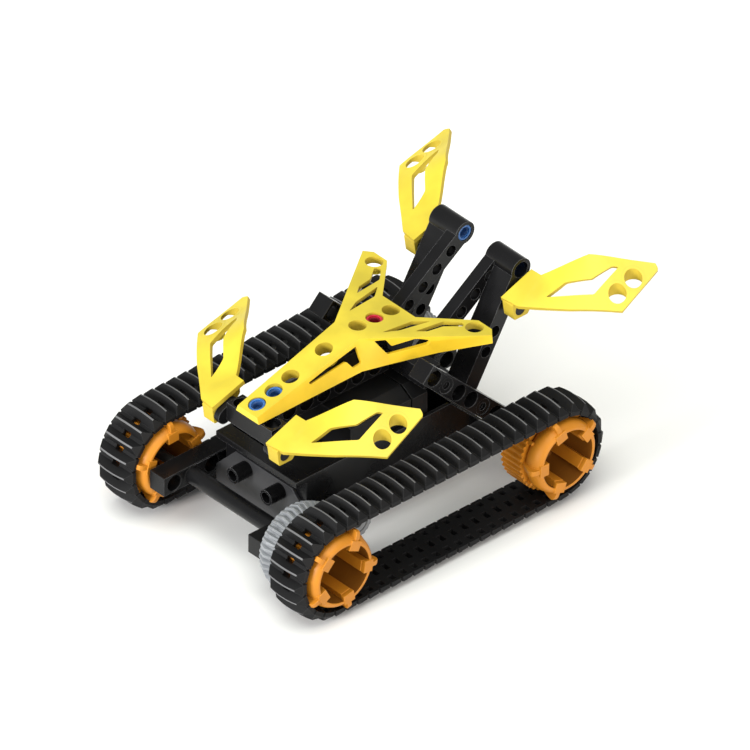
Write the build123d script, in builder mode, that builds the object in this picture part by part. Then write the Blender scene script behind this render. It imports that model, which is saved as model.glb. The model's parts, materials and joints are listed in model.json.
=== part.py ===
"""Tracked tank chassis: a construction-kit vehicle with two tracks, a hull and four wings.

Millimetres, +Z up, and the front of the vehicle faces -Y. The origin is the middle of the
rectangle that the vehicle covers on the ground. Places are written from the middle of the
front axle line, and spot() turns them into the part's own frame.
"""
from build123d import *
import math
import os

# kit standard
PITCH = 10.0             # distance between two peg holes
HOLE_R = 3.9
PEG_R = 3.85
BEAM = 9.4               # side of a square beam
AXLE_R = 2.4
RUNNING_R = 2.45         # bore in which an axle turns

# layout, from the front axle line
FRONT_AXLE_Y = -78.89
AXLE_Z = 25.8
WHEELBASE = 13 * PITCH
MOTOR_OFFSET = 3 * PITCH     # motor shaft to driven axle

# tracks
TRACK_IN_X = 45.0
TRACK_WIDTH = 22.0
BELT_R = 20.0
BELT_THICKNESS = 2.0
LUG_TIP_R = AXLE_Z
LUG_LENGTH = 18.0
LUGS_PER_TURN = 20
LUG_PITCH = WHEELBASE / 20

# sprockets
SPROCKET_IN_X = 47.2
LEFT_SPROCKET_SHIFT = -112.0     # the left ones face the same way as the right ones
RIM_X = 70.0
BAND_LENGTH = 12.8
BAND_TEETH = 40
BAND_ROOT_R = 18.2
BAND_TIP_R = 19.5
DRUM_R = 17.0
OPENING_R = 14.2
HUB_FLOOR_X = 50.0
HUB_END_X = 54.0
HUB_R = 5.0
EARS = 5
EAR_WIDTH = 2.4
EAR_TIP_R = 20.6
RIB_WIDTH = 5.6
RIB_TIP_R = 11.4

# gears, module 1
GEAR_X = 33.9
LEFT_GEAR_X = 31.3
GEAR_WIDTH = 10.4
GEAR_TEETH = 40
PINION_TEETH = 20
ADDENDUM = 1.0
DEDENDUM = 1.1

# beams beside the hull: the side that carries a drive gear sits further in
DRIVE_BEAM_X = 24.0
LEFT_DRIVE_BEAM_X = 21.4
FREE_BEAM_X = 31.0
BRACE_X = 28.3
FRONT_BEAM_REACH = 16.0

# hull
HULL_HALF = 26.4
HULL_WALL = 2.0
HULL_FRONT_Y = 16.0
HULL_REAR_Y = WHEELBASE - HULL_FRONT_Y
HULL_FLOOR_Z = -9.0
HULL_RIM_Z = 21.0
BOX_HALF = HULL_HALF - HULL_WALL - 0.5
BOX_FLOOR_Z = HULL_FLOOR_Z + HULL_WALL
SPINE_Z = 35.9               # underside of the spine beam, and top of the controller
PLATE_THICKNESS = 1.6
FRONT_BEAM_PEG_Y = 24.0

# rear arms
ARM_HEAD = (140.3, 74.0)
ARM_HEAD_R = 5.5
ARM_IN_X = 9.6
ARM_SPLIT_X = 15.6
ARM_OUT_X = 27.2
LEG_DEPTH = 8.4
WING_PIVOT_ALONG = 15.2      # from the arm's head, along its outer leg
INNER_LEG_ANGLE = 35.5

# wings
WING_THICKNESS = 2.2
PIVOT_R = 2.9
FRONT_PIVOT = (5.3, 37.3)
REAR_WING_SHIFT = (11.0, 127.21, 23.65)
WING_HOLES = ((55.2, 43.8, 52.8), (55.5, 34.3, 48.8))    # upright bores

# panel
PANEL_THICKNESS = 2.0
NOSE_START = (5.0, 47.7)
NOSE_END = (63.0, 63.7)
PANEL_TAIL = (115.0, 61.2)
BOSS_R = 5.2
BOSS_DEPTH = 5.0
FIRST_BOSS_DEPTH = 3.4       # shallow, because it sits on the cross beam
BLUE_PEG_Y = (10.5, 20.2)
RED_PEG_Y = 79.0


def spot(x, y, z):
    """A place given from the middle of the front axle line, in the part's frame."""
    return Vector(x, FRONT_AXLE_Y + y, AXLE_Z + z)


def side_plane(x, y=0.0, z=0.0):
    """Upright plane along the vehicle: local x is +Y, local y is +Z, and it faces +X."""
    return Plane(origin=spot(x, y, z), x_dir=(0, 1, 0), z_dir=(1, 0, 0))


def front_plane(y):
    """Upright plane across the vehicle: local x is +X, local y is +Z, and it faces -Y."""
    return Plane(origin=spot(0, y, 0), x_dir=(1, 0, 0), z_dir=(0, -1, 0))


def save(builder, name):
    """Label a finished piece and write its STEP file."""
    builder.part.label = name
    export_step(builder.part, f"parts/{name}.step")


def side_name(side):
    return "right" if side > 0 else "left"


def brace_point(holes):
    """Place on a 45 degree brace, counted in holes from the rear axle."""
    step = holes * PITCH / math.sqrt(2)
    return (WHEELBASE - step, step)


def cross_beam_y(face):
    """Front (-1) or rear (1) face of the cross beam between the braces."""
    return brace_point(6)[0] + face * BEAM / 2


def along(start, end, distance):
    """Point at a distance from start on the way to end, in a side plane."""
    share = distance / math.dist(start, end)
    return (start[0] + share * (end[0] - start[0]), start[1] + share * (end[1] - start[1]))


def bar(start, end, depth):
    """Add a straight bar to the open side sketch, from one centreline end to the other."""
    angle = math.degrees(math.atan2(end[1] - start[1], end[0] - start[0]))
    length = math.dist(start, end)
    with Locations(along(start, end, length / 2)):
        Rectangle(length, depth, rotation=angle)


def toothed_outline(teeth, root_r, tip_r, first_angle=0.0):
    """Corners of a toothed wheel, four to a tooth, with slim teeth that leave backlash."""
    root_half = math.radians(360 / teeth * 0.36)
    tip_half = math.radians(360 / teeth * 0.11)
    corners = []
    for tooth in range(teeth):
        middle = math.radians(first_angle + 360 / teeth * tooth)
        tooth_corners = ((root_r, -root_half), (tip_r, -tip_half), (tip_r, tip_half), (root_r, root_half))
        for radius, turn in tooth_corners:
            corners.append((radius * math.cos(middle + turn), radius * math.sin(middle + turn)))
    return corners


def slab(corners, thickness, both=True):
    """Add a flat plate through the given places to the open part."""
    normal = (corners[1] - corners[0]).cross(corners[2] - corners[0])
    plane = Plane(origin=corners[0], x_dir=corners[1] - corners[0], z_dir=normal)
    flat = [plane.to_local_coords(corner) for corner in corners]
    with BuildSketch(plane) as outline:
        with BuildLine():
            Polyline(*[(point.X, point.Y) for point in flat], close=True)
        make_face()
    extrude(outline.sketch, amount=thickness / 2 if both else -thickness, both=both)


def lug_places():
    """Foot of every lug on the pitch line, with the direction in which it points."""
    turn = 360 / LUGS_PER_TURN
    for k in range(LUGS_PER_TURN):
        yield (k * LUG_PITCH, 0.0, 90.0)
        yield (WHEELBASE - k * LUG_PITCH, 0.0, -90.0)
    for k in range(LUGS_PER_TURN // 2):
        yield (WHEELBASE, 0.0, 90.0 - k * turn)
        yield (0.0, 0.0, 270.0 - k * turn)


def make_track(side):
    lug_root_r = BELT_R + BELT_THICKNESS - 0.5
    lug_height = LUG_TIP_R - lug_root_r
    lug_margin = (TRACK_WIDTH - LUG_LENGTH) / 2
    with BuildPart() as track:
        with BuildSketch(side_plane(side * TRACK_IN_X)):
            with Locations((WHEELBASE / 2, 0)):
                SlotCenterToCenter(WHEELBASE, 2 * (BELT_R + BELT_THICKNESS))
                SlotCenterToCenter(WHEELBASE, 2 * BELT_R, mode=Mode.SUBTRACT)
        extrude(amount=side * TRACK_WIDTH)
        with BuildSketch(side_plane(side * (TRACK_IN_X + lug_margin))):
            for y, z, angle in lug_places():
                reach = lug_root_r + lug_height / 2
                facing = math.radians(angle)
                foot = (y + reach * math.cos(facing), z + reach * math.sin(facing))
                with Locations(Location(foot, angle - 90)):
                    Trapezoid(4.2, lug_height, 78)
        extrude(amount=side * LUG_LENGTH)
    save(track, f"track_{side_name(side)}")


def make_sprocket(name, shift, y, first_ear):
    """Toothed band inside the belt, and an open drum with ears that faces +X."""
    band_end = SPROCKET_IN_X + BAND_LENGTH
    ear_x = TRACK_IN_X + TRACK_WIDTH + 0.4
    with BuildPart() as sprocket:
        with BuildSketch(side_plane(SPROCKET_IN_X + shift, y)):
            with BuildLine():
                Polyline(*toothed_outline(BAND_TEETH, BAND_ROOT_R, BAND_TIP_R), close=True)
            make_face()
        extrude(amount=BAND_LENGTH)
        with BuildSketch(side_plane(band_end + shift, y)):
            Circle(DRUM_R)
            with PolarLocations((DRUM_R + BAND_TIP_R) / 2 - 1, EARS, start_angle=first_ear):
                Rectangle(BAND_TIP_R - DRUM_R + 2, EAR_WIDTH)
        extrude(amount=RIM_X - band_end)
        with BuildSketch(side_plane(ear_x + shift, y)):
            with PolarLocations((DRUM_R + EAR_TIP_R) / 2 - 1, EARS, start_angle=first_ear):
                Rectangle(EAR_TIP_R - DRUM_R + 2, EAR_WIDTH)
        extrude(amount=RIM_X - ear_x)
        with BuildSketch(side_plane(HUB_FLOOR_X + shift, y)):
            Circle(OPENING_R)
        extrude(amount=RIM_X - HUB_FLOOR_X, mode=Mode.SUBTRACT)
        with BuildSketch(side_plane(HUB_FLOOR_X + shift, y)):
            Circle(HUB_R)
        extrude(amount=HUB_END_X - HUB_FLOOR_X)
        with BuildSketch(side_plane(HUB_FLOOR_X + shift, y)):
            with PolarLocations((OPENING_R + RIB_TIP_R + 0.6) / 2, EARS, start_angle=first_ear):
                Rectangle(OPENING_R - RIB_TIP_R + 0.6, RIB_WIDTH)
        extrude(amount=RIM_X - HUB_FLOOR_X)
        with BuildSketch(side_plane(SPROCKET_IN_X + shift, y)):
            Circle(AXLE_R)
        extrude(amount=HUB_END_X - SPROCKET_IN_X, mode=Mode.SUBTRACT)
    save(sprocket, name)


def make_gear(name, side, y, teeth, first_angle):
    pitch_r = teeth / 2
    x = GEAR_X if side > 0 else -LEFT_GEAR_X
    outline = toothed_outline(teeth, pitch_r - DEDENDUM, pitch_r + ADDENDUM, first_angle)
    with BuildPart() as gear:
        with BuildSketch(side_plane(x, y)):
            with BuildLine():
                Polyline(*outline, close=True)
            make_face()
            Circle(AXLE_R, mode=Mode.SUBTRACT)
        extrude(amount=side * GEAR_WIDTH)
    save(gear, name)


def make_rod(name, y, x_from, x_to, outer_r, bore_r=0.0):
    """Round rod or tube across the vehicle, on one of the two axle lines or a motor line."""
    with BuildPart() as rod:
        with BuildSketch(side_plane(x_from, y)):
            Circle(outer_r)
            if bore_r:
                Circle(bore_r, mode=Mode.SUBTRACT)
        extrude(amount=x_to - x_from)
    save(rod, name)


def make_side_beam(name, x_from, width, start, end, holes):
    """Square beam in a side plane, with peg holes across it."""
    with BuildPart() as beam:
        with BuildSketch(side_plane(x_from)):
            bar(start, end, BEAM)
            with Locations(*holes):
                Circle(HOLE_R, mode=Mode.SUBTRACT)
        extrude(amount=width)
    save(beam, name)


def make_hull():
    rim_slope = HULL_REAR_Y + 7.0
    with BuildPart() as hull:
        with BuildSketch(side_plane(-HULL_HALF)):
            with BuildLine():
                Polyline(
                    (HULL_FRONT_Y, HULL_FLOOR_Z),
                    (HULL_FRONT_Y, HULL_RIM_Z - 3),
                    (HULL_FRONT_Y - 6, HULL_RIM_Z - 3),
                    (HULL_FRONT_Y - 6, HULL_RIM_Z),
                    (rim_slope - HULL_RIM_Z, HULL_RIM_Z),
                    (HULL_REAR_Y, rim_slope - HULL_REAR_Y),
                    (HULL_REAR_Y, HULL_FLOOR_Z),
                    close=True,
                )
            make_face()
        extrude(amount=2 * HULL_HALF)
        with BuildSketch(side_plane(-HULL_HALF + HULL_WALL)):
            with Locations((WHEELBASE / 2, BOX_FLOOR_Z)):
                Rectangle(
                    HULL_REAR_Y - HULL_FRONT_Y - 2 * HULL_WALL,
                    2 * HULL_RIM_Z,
                    align=(Align.CENTER, Align.MIN),
                )
        extrude(amount=2 * (HULL_HALF - HULL_WALL), mode=Mode.SUBTRACT)
        for side, y in ((1, MOTOR_OFFSET), (-1, WHEELBASE - MOTOR_OFFSET)):
            with BuildSketch(side_plane(side * (HULL_HALF - HULL_WALL), y)):
                Circle(AXLE_R + 0.8)
            extrude(amount=side * HULL_WALL, mode=Mode.SUBTRACT)
        with BuildSketch(side_plane(-HULL_HALF, FRONT_BEAM_PEG_Y)):
            Circle(HOLE_R)
        extrude(amount=HULL_WALL, mode=Mode.SUBTRACT)
    save(hull, "hull_tray")


def make_sensor():
    plate_half = 31.0
    with BuildPart() as plate:
        with BuildSketch(front_plane(HULL_FRONT_Y)):
            with BuildLine():
                Polyline(
                    (-plate_half, -10.6),
                    (plate_half, -10.6),
                    (plate_half, -1),
                    (18.5, 12),
                    (-18.5, 12),
                    (-plate_half, -1),
                    close=True,
                )
            make_face()
        extrude(amount=PLATE_THICKNESS)
    save(plate, "sensor_plate")
    for side in (1, -1):
        with BuildPart() as eye:
            with BuildSketch(front_plane(HULL_FRONT_Y - PLATE_THICKNESS)):
                with Locations((side * 11, 6.9)):
                    Circle(3.8)
            extrude(amount=8.5)
            with BuildSketch(front_plane(HULL_FRONT_Y - PLATE_THICKNESS - 4)):
                with Locations((side * 11, 6.9)):
                    Circle(2.7)
            extrude(amount=4.5, mode=Mode.SUBTRACT)
        save(eye, f"sensor_eye_{side_name(side)}")


def make_rear_plate():
    with BuildPart() as plate:
        with BuildSketch(front_plane(HULL_REAR_Y + PLATE_THICKNESS)):
            with Locations((0, -10.6)):
                Rectangle(62, 17.6, align=(Align.CENTER, Align.MIN))
        extrude(amount=PLATE_THICKNESS)
    save(plate, "rear_plate")


def make_motors():
    front_y = MOTOR_OFFSET
    rear_y = WHEELBASE - MOTOR_OFFSET
    with BuildPart() as motor_right:
        with BuildSketch(front_plane(42)):
            with Locations((2, BOX_FLOOR_Z)):
                Rectangle(BOX_HALF - 2, 24, align=(Align.MIN, Align.MIN))
        extrude(amount=22)
        fillet(motor_right.edges().filter_by(Axis.Y).group_by(Axis.Z)[-1], 3)
        with BuildSketch(side_plane(BOX_HALF, front_y)):
            Circle(RUNNING_R)
        extrude(amount=-8, mode=Mode.SUBTRACT)
    save(motor_right, "motor_right")
    tower_top = SPINE_Z - 0.4
    with BuildPart() as motor_left:
        with BuildSketch(front_plane(111.5)):
            with Locations((-2, BOX_FLOOR_Z)):
                Rectangle(BOX_HALF - 2, 15.8, align=(Align.MAX, Align.MIN))
        extrude(amount=23)
        with BuildSketch(front_plane(88.5)):
            with BuildLine():
                Polyline(
                    (-BOX_HALF, BOX_FLOOR_Z),
                    (BOX_HALF, BOX_FLOOR_Z),
                    (BOX_HALF, tower_top - 4),
                    (17, tower_top),
                    (-17, tower_top),
                    (-BOX_HALF, tower_top - 4),
                    close=True,
                )
            make_face()
        extrude(amount=8.5)
        with BuildSketch(side_plane(-BOX_HALF, rear_y)):
            Circle(RUNNING_R)
        extrude(amount=8, mode=Mode.SUBTRACT)
    save(motor_left, "motor_left")


def make_controller():
    with BuildPart() as controller:
        with BuildSketch(front_plane(79)):
            with BuildLine():
                Polyline(
                    (-BOX_HALF, BOX_FLOOR_Z),
                    (BOX_HALF, BOX_FLOOR_Z),
                    (BOX_HALF, SPINE_Z - 4),
                    (17, SPINE_Z),
                    (-17, SPINE_Z),
                    (-BOX_HALF, SPINE_Z - 4),
                    close=True,
                )
            make_face()
        extrude(amount=35)
    save(controller, "controller_box")


def nose_height(y):
    """Height of the nose plate's top over a place on the centre line."""
    share = (y - NOSE_START[0]) / (NOSE_END[0] - NOSE_START[0])
    return NOSE_START[1] + share * (NOSE_END[1] - NOSE_START[1])


def tail_height(y):
    """Height of the rear plate's top over a place on the centre line."""
    share = (y - NOSE_END[0]) / (PANEL_TAIL[0] - NOSE_END[0])
    return NOSE_END[1] + share * (PANEL_TAIL[1] - NOSE_END[1])


def panel_plane(y, x=0.0):
    """Plane on the panel's top surface, facing up and away from it."""
    if y < NOSE_END[0]:
        slope = (NOSE_END[1] - NOSE_START[1]) / (NOSE_END[0] - NOSE_START[0])
        height = nose_height(y)
    else:
        slope = (PANEL_TAIL[1] - NOSE_END[1]) / (PANEL_TAIL[0] - NOSE_END[0])
        height = tail_height(y)
    return Plane(origin=spot(x, y, height), x_dir=(1, 0, 0), z_dir=(0, -slope, 1))


def cut_panel_hole(y, depth):
    """Cut a peg hole square to the panel's surface out of the open part."""
    with BuildSketch(panel_plane(y)) as hole:
        Circle(HOLE_R)
    extrude(hole.sketch, amount=-depth, mode=Mode.SUBTRACT)


def make_frame():
    """Beams that carry the panel, the wings and the rear arms."""
    cross_half = 14.7
    with BuildPart() as nose_cross_beam:
        with Locations(spot(0, 6 + BEAM / 2, 34.8 + BEAM / 2)):
            Box(2 * cross_half, BEAM, BEAM)
        with BuildSketch(Plane(origin=spot(0, 6 + BEAM / 2, 34.8))):
            with Locations((-PITCH, 0), (PITCH, 0)):
                Circle(HOLE_R)
        extrude(amount=BEAM, mode=Mode.SUBTRACT)
        cut_panel_hole(BLUE_PEG_Y[0], 12)
    save(nose_cross_beam, "nose_cross_beam")

    spine_start = 6 + BEAM
    spine_end = cross_beam_y(-1)
    with BuildPart() as spine_beam:
        with BuildSketch(side_plane(-BEAM / 2)):
            with Locations((spine_start, SPINE_Z)):
                Rectangle(spine_end - spine_start, BEAM, align=(Align.MIN, Align.MIN))
            with GridLocations(PITCH, 1, 6, 1):
                with Locations((spine_start + 35, SPINE_Z + BEAM / 2)):
                    Circle(HOLE_R, mode=Mode.SUBTRACT)
        extrude(amount=BEAM)
        for y in BLUE_PEG_Y:
            cut_panel_hole(y, 12)
    save(spine_beam, "spine_beam")

    with BuildPart() as rear_cross_beam:
        with BuildSketch(side_plane(-BRACE_X)):
            with Locations(brace_point(6)):
                Rectangle(BEAM, BEAM)
                Circle(HOLE_R, mode=Mode.SUBTRACT)
        extrude(amount=2 * BRACE_X)
    save(rear_cross_beam, "rear_cross_beam")

    post_bottom = SPINE_Z + BEAM
    post_top = tail_height(RED_PEG_Y) - BOSS_DEPTH - 0.8
    with BuildPart() as panel_post:
        with BuildSketch(Plane(origin=spot(0, RED_PEG_Y - 1, post_bottom))):
            Rectangle(BEAM, BEAM)
        extrude(amount=post_top - post_bottom)
        cut_panel_hole(RED_PEG_Y, 12)
    save(panel_post, "panel_post")


def make_arm(side):
    foot = brace_point(3)
    pivot = along(ARM_HEAD, foot, WING_PIVOT_ALONG)
    slope = math.radians(INNER_LEG_ANGLE)
    inner_end = (ARM_HEAD[0] - 64 * math.cos(slope), ARM_HEAD[1] - 64 * math.sin(slope))
    with BuildPart() as arm:
        with BuildSketch(side_plane(side * ARM_IN_X)):
            with Locations(ARM_HEAD):
                Circle(ARM_HEAD_R)
            bar(ARM_HEAD, inner_end, LEG_DEPTH)
            with Locations((cross_beam_y(1), 0)):
                Rectangle(60, 80, align=(Align.MAX, Align.MIN), mode=Mode.SUBTRACT)
            with Locations(*[along(ARM_HEAD, inner_end, PITCH * k) for k in range(1, 5)]):
                Circle(2.8, mode=Mode.SUBTRACT)
        extrude(amount=side * (ARM_SPLIT_X - ARM_IN_X))
        with BuildSketch(side_plane(side * ARM_SPLIT_X)):
            with Locations(ARM_HEAD):
                Circle(ARM_HEAD_R)
            bar(ARM_HEAD, foot, LEG_DEPTH)
            with Locations(foot):
                Circle(5.2)
                Circle(HOLE_R, mode=Mode.SUBTRACT)
            with Locations(pivot):
                Circle(PIVOT_R, mode=Mode.SUBTRACT)
            with Locations(*[along(ARM_HEAD, foot, PITCH * k) for k in range(3, 5)]):
                Circle(2.8, mode=Mode.SUBTRACT)
        extrude(amount=side * (ARM_OUT_X - ARM_SPLIT_X))
        with BuildSketch(side_plane(side * ARM_IN_X)):
            with Locations(ARM_HEAD):
                Circle(HOLE_R)
        extrude(amount=side * (ARM_OUT_X - ARM_IN_X), mode=Mode.SUBTRACT)
    save(arm, f"rear_arm_{side_name(side)}")


def nose_section(y, inset):
    """Corners of the nose shell's trapezoid at a place along it."""
    share = (y - NOSE_START[0]) / (NOSE_END[0] - NOSE_START[0])
    top_half = 6.3 + share * 1.9 - inset
    low_half = 7.5 + share * 5.9 - inset
    top_z = nose_height(y) - inset
    low_z = 44.5 + share * 5.5 - (1.0 if inset else 0.0)
    return ((-low_half, low_z), (low_half, low_z), (top_half, top_z), (-top_half, top_z))


def make_panel():
    nose_hole_ys = (*BLUE_PEG_Y, 30.0, 49.5)
    tail_hole_ys = (69.1, RED_PEG_Y, 88.5)
    with BuildPart() as panel:
        for y in (NOSE_START[0], NOSE_END[0]):
            with BuildSketch(front_plane(y)):
                with BuildLine():
                    Polyline(*nose_section(y, 0.0), close=True)
                make_face()
        loft()
        for y in (NOSE_START[0] + PANEL_THICKNESS, NOSE_END[0] + 1):
            with BuildSketch(front_plane(y)):
                with BuildLine():
                    Polyline(*nose_section(y, PANEL_THICKNESS), close=True)
                make_face()
        loft(mode=Mode.SUBTRACT)
        right_edge = ((8.2, 62.8), (42.5, 109.8), (38.8, 113.4), (30, 113.4), (27.6, 111), (10.8, 93.2))
        outline = [*right_edge, *[(-x, y) for x, y in reversed(right_edge)]]
        slab([spot(x, y, tail_height(y)) for x, y in outline], PANEL_THICKNESS, both=False)
        for side in (1, -1):
            top = ((8.2, 62.5, 63.0), (41.8, 109.3, 60.8))
            low = ((41.8, 109.6, 57.0), (16, 74, 49.5), (12.6, 62.5, 50))
            slab([spot(side * x, y, z) for x, y, z in (*top, *low)], PANEL_THICKNESS)
        for y in (*nose_hole_ys, *tail_hole_ys):
            with BuildSketch(panel_plane(y)):
                Circle(BOSS_R)
            extrude(amount=-(FIRST_BOSS_DEPTH if y == BLUE_PEG_Y[0] else BOSS_DEPTH))
        for side in (1, -1):
            with BuildSketch(panel_plane(108.2, side * 32.9)):
                Circle(BOSS_R)
            extrude(amount=-BOSS_DEPTH)
        for y in (*nose_hole_ys, *tail_hole_ys):
            with BuildSketch(panel_plane(y)):
                Circle(HOLE_R)
            extrude(amount=-2 * BOSS_DEPTH, mode=Mode.SUBTRACT)
        for side in (1, -1):
            with BuildSketch(panel_plane(108.2, side * 32.9)):
                Circle(HOLE_R)
            extrude(amount=-2 * BOSS_DEPTH, mode=Mode.SUBTRACT)
    save(panel, "top_panel")


def make_wing(name, side, shift):
    """Blade on a foot, with a pivot box under the foot."""

    def corner(x, y, z):
        return spot(side * (x + shift[0]), y + shift[1], z + shift[2])

    tip, crown = corner(59, 55.6, 53.4), corner(36, 35.2, 58.9)
    foot_rear, foot_inner_rear = corner(22.9, 18.7, 47.4), corner(17.9, 18.1, 47.8)
    foot_inner_front, foot_front = corner(18, 0, 41.5), corner(26.8, 1.8, 40.6)
    heel = corner(62.2, 31.3, 42.9)
    box_in, box_out = 18.3, 24.6
    pivot_y, pivot_z = FRONT_PIVOT
    with BuildPart() as wing:
        slab([foot_front, foot_rear, foot_inner_rear, foot_inner_front], WING_THICKNESS)
        slab([foot_front, heel, tip, foot_rear], WING_THICKNESS)
        slab([foot_rear, tip, crown], WING_THICKNESS)
        with BuildSketch(side_plane(side * (box_in + shift[0]), shift[1], shift[2])):
            with BuildLine():
                Polyline(
                    (pivot_y - 4.8, pivot_z + 4.0),
                    (pivot_y - 3.6, pivot_z - 4.2),
                    (pivot_y + 4.0, pivot_z - 4.2),
                    (pivot_y + 11.4, pivot_z + 5.4),
                    (pivot_y + 11.4, pivot_z + 8.4),
                    close=True,
                )
            make_face()
        extrude(amount=side * (box_out - box_in))
        with BuildSketch(side_plane(side * (box_in + shift[0]), shift[1], shift[2])):
            with Locations((pivot_y, pivot_z)):
                Circle(PIVOT_R + 0.05)
        extrude(amount=side * (box_out - box_in), mode=Mode.SUBTRACT)
        for hole in WING_HOLES:
            with BuildSketch(Plane(origin=corner(*hole) + Vector(0, 0, 6))):
                Circle(HOLE_R)
            extrude(amount=-12, mode=Mode.SUBTRACT)
    save(wing, name)


def make_pivots():
    """Pivot pins of the wings. The front ones stand on short links on the cross beam's ends."""
    pin_end = 24.4
    link_start, link_end = 14.7, 17.6
    for side in (1, -1):
        with BuildPart() as pivot:
            with BuildSketch(side_plane(side * link_start)):
                with Locations(FRONT_PIVOT):
                    Circle(4.0)
                bar(FRONT_PIVOT, (10.7, 39.5), 8.0)
                with Locations((10.7, 39.5)):
                    Circle(4.0)
            extrude(amount=side * (link_end - link_start))
            with BuildSketch(side_plane(side * link_end, *FRONT_PIVOT)):
                Circle(PIVOT_R)
            extrude(amount=side * (pin_end - link_end))
        save(pivot, f"front_wing_pivot_{side_name(side)}")
        rear_y, rear_z = along(ARM_HEAD, brace_point(3), WING_PIVOT_ALONG)
        with BuildPart() as pin:
            with BuildSketch(side_plane(side * (ARM_SPLIT_X + 1), rear_y, rear_z)):
                Circle(PIVOT_R)
            extrude(amount=side * (pin_end + REAR_WING_SHIFT[0] - ARM_SPLIT_X - 1))
        save(pin, f"rear_wing_pivot_{side_name(side)}")


def round_peg(plane, length):
    """Peg with a recess in its head, set into the plane and pointing down from it."""
    with BuildSketch(plane) as body:
        Circle(PEG_R)
    extrude(body.sketch, amount=-length)
    with BuildSketch(plane) as recess:
        Circle(1.9)
    extrude(recess.sketch, amount=-1.6, mode=Mode.SUBTRACT)


def make_pegs():
    with BuildPart() as blue_pegs:
        round_peg(panel_plane(BLUE_PEG_Y[0]).offset(-0.3), 11)
        round_peg(panel_plane(BLUE_PEG_Y[1]).offset(-1.6), 9)
        for side in (1, -1):
            head = Plane(origin=spot(side * ARM_IN_X, *ARM_HEAD), z_dir=(-side, 0, 0))
            round_peg(head.offset(-0.2), 12)
    save(blue_pegs, "blue_pegs")
    with BuildPart() as red_peg:
        round_peg(panel_plane(RED_PEG_Y).offset(-0.8), 10)
    save(red_peg, "red_peg")
    with BuildPart() as black_pegs:
        for side in (1, -1):
            for hole, reach in ((3, BRACE_X - ARM_SPLIT_X - 1), (6, 9)):
                outside = side * (BRACE_X + BEAM)
                head = Plane(origin=spot(outside, *brace_point(hole)), z_dir=(side, 0, 0))
                round_peg(head.offset(-0.3), BEAM + reach)
        head = Plane(origin=spot(-FREE_BEAM_X - BEAM, FRONT_BEAM_PEG_Y, 0), z_dir=(-1, 0, 0))
        round_peg(head.offset(-0.3), BEAM + 8)
    save(black_pegs, "black_pegs")


def make_bushes():
    places = (
        (DRIVE_BEAM_X, 0, 1),
        (FREE_BEAM_X, 0, -1),
        (LEFT_DRIVE_BEAM_X, WHEELBASE, -1),
        (BRACE_X, WHEELBASE, 1),
    )
    with BuildPart() as bushes:
        for x, y, side in places:
            with BuildSketch(side_plane(side * x, y)):
                Circle(HOLE_R)
                Circle(RUNNING_R, mode=Mode.SUBTRACT)
            extrude(amount=side * BEAM)
    save(bushes, "axle_bushes")


def main():
    os.makedirs("parts", exist_ok=True)
    rear = WHEELBASE
    axle_end = HUB_END_X + 1.5
    left_axle_end = SPROCKET_IN_X + LEFT_SPROCKET_SHIFT - 1.5
    tube_r, tube_bore_r = 3.9, 2.9

    for side in (1, -1):
        make_track(side)
        make_arm(side)
    make_sprocket("sprocket_front_right", 0, 0, 64)
    make_sprocket("sprocket_rear_right", 0, rear, 34)
    make_sprocket("sprocket_front_left", LEFT_SPROCKET_SHIFT, 0, 20)
    make_sprocket("sprocket_rear_left", LEFT_SPROCKET_SHIFT, rear, 34)

    make_gear("drive_gear_right", 1, 0, GEAR_TEETH, 0)
    make_gear("drive_gear_left", -1, rear, GEAR_TEETH, 0)
    half_tooth = 180 / PINION_TEETH
    make_gear("motor_pinion_right", 1, MOTOR_OFFSET, PINION_TEETH, half_tooth)
    make_gear("motor_pinion_left", -1, rear - MOTOR_OFFSET, PINION_TEETH, half_tooth)

    make_rod("axle_front_right", 0, 14, axle_end, AXLE_R)
    make_rod("axle_front_left", 0, -21, left_axle_end, AXLE_R)
    make_rod("axle_rear_left", rear, -14, left_axle_end, AXLE_R)
    make_rod("axle_rear_right", rear, 18, axle_end, AXLE_R)
    shaft_start = BOX_HALF - 7.6
    shaft_past = GEAR_WIDTH + 0.4
    make_rod("motor_shaft_right", MOTOR_OFFSET, shaft_start, GEAR_X + shaft_past, AXLE_R)
    make_rod("motor_shaft_left", rear - MOTOR_OFFSET, -shaft_start, -LEFT_GEAR_X - shaft_past, AXLE_R)
    make_rod("front_axle_tube", 0, -FREE_BEAM_X, DRIVE_BEAM_X, tube_r, tube_bore_r)
    make_rod("rear_axle_tube", rear, -LEFT_DRIVE_BEAM_X, BRACE_X, tube_r, tube_bore_r)

    nose = -FRONT_BEAM_REACH
    plate_face = HULL_FRONT_Y - PLATE_THICKNESS
    make_side_beam(
        "front_beam_right", DRIVE_BEAM_X, BEAM, (nose, 0), (plate_face, 0),
        [(-PITCH, 0), (0, 0)])
    make_side_beam(
        "front_beam_left", -FREE_BEAM_X, -BEAM, (nose, 0), (34, 0),
        [(-PITCH, 0), (0, 0), (12, 0), (FRONT_BEAM_PEG_Y, 0)])
    make_side_beam(
        "rear_beam_left", -LEFT_DRIVE_BEAM_X, -BEAM, (rear - plate_face, 0), (rear - nose, 0),
        [(rear, 0), (rear + PITCH, 0)])
    make_side_beam(
        "rear_brace_right", BRACE_X, BEAM, brace_point(-0.5), brace_point(7.5),
        [brace_point(k) for k in range(8)])
    make_side_beam(
        "rear_brace_left", -BRACE_X, -BEAM, brace_point(2.5), brace_point(7.5),
        [brace_point(k) for k in range(3, 8)])

    make_hull()
    make_sensor()
    make_rear_plate()
    make_motors()
    make_controller()
    make_frame()
    make_panel()
    for side in (1, -1):
        make_wing(f"front_wing_{side_name(side)}", side, (0, 0, 0))
        make_wing(f"rear_wing_{side_name(side)}", side, REAR_WING_SHIFT)
    make_pivots()
    make_pegs()
    make_bushes()


main()
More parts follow.
